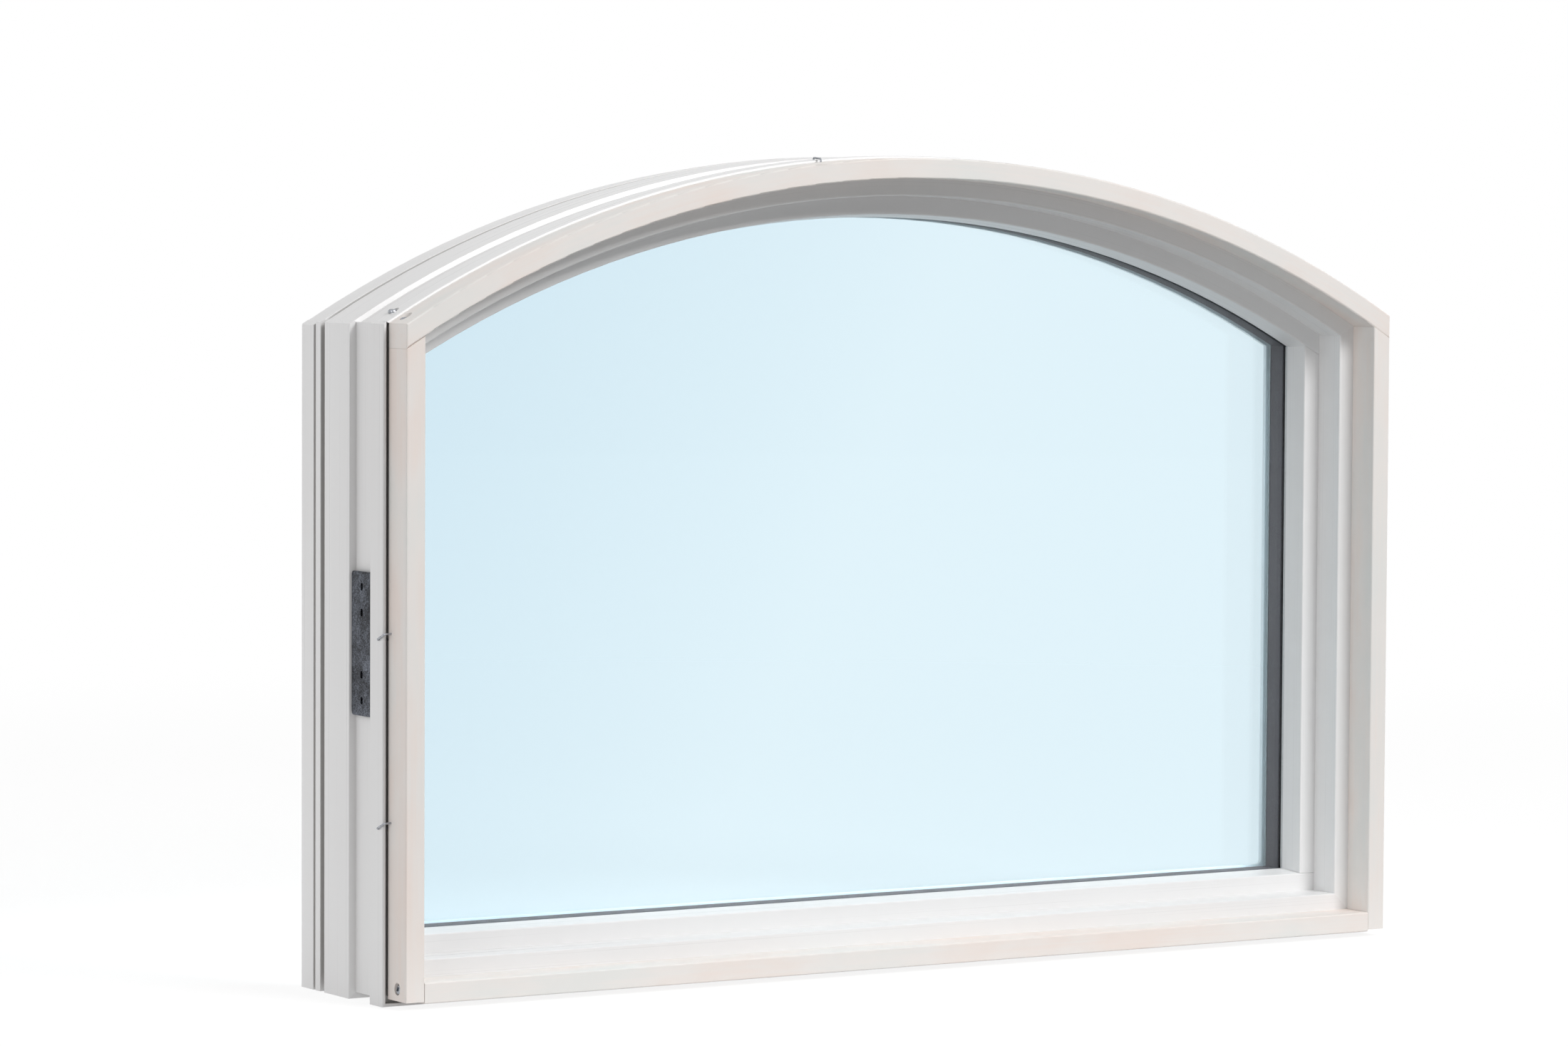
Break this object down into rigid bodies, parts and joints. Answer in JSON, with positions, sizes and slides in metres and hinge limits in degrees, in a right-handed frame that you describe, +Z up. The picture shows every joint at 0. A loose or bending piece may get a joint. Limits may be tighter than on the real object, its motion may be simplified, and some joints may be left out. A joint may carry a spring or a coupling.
{
  "type": "arched fixed window unit",
  "caption": "Arch-top fixed window: white PVC frame, insulating glass held by beads, primed wood jamb extension, steel side plates.",
  "frame": {"origin": "middle of the bottom of the bounding box", "axes": "+X to the right seen from the room, +Y towards the exterior, +Z up; the room side faces -Y"},
  "size_m": [0.9282, 0.163, 0.6408],
  "materials": {
    "pvc_white": "extruded white PVC, low sheen",
    "gasket_grey": "soft grey co-extruded gasket",
    "clear_glass": "clear float glass",
    "spacer_dark": "dark grey warm-edge spacer",
    "desiccant_beads": "molecular sieve",
    "butyl_black": "butyl primary seal",
    "silicone_seal": "silicone secondary seal",
    "tape_grey": "closed-cell glazing tape",
    "block_rubber": "EPDM setting block",
    "primed_wood": "factory primed pine",
    "zinc_steel": "zinc plated steel"
  },
  "bodies": {
    "root": {"frame_head": "pvc_white", "frame_jamb_left": "pvc_white", "frame_jamb_right": "pvc_white", "frame_sill": "pvc_white", "bead_head": "pvc_white", "bead_left": "pvc_white", "bead_right": "pvc_white", "bead_sill": "pvc_white", "gasket_head": "gasket_grey", "gasket_left": "gasket_grey", "gasket_right": "gasket_grey", "gasket_sill": "gasket_grey", "pane_interior": "clear_glass", "pane_exterior": "clear_glass", "spacer_bar": "spacer_dark", "desiccant": "desiccant_beads", "butyl_seal": "butyl_black", "edge_seal": "silicone_seal", "glazing_tape": "tape_grey", "setting_blocks": "block_rubber", "side_blocks": "block_rubber", "extension_head": "primed_wood", "extension_jamb_left": "primed_wood", "extension_jamb_right": "primed_wood", "extension_sill": "primed_wood", "head_screws": "zinc_steel", "sill_screws": "zinc_steel", "leg_screws": "zinc_steel", "staples": "zinc_steel", "mounting_plate_left": "zinc_steel", "mounting_plate_right": "zinc_steel"}
  },
  "joints": []
}
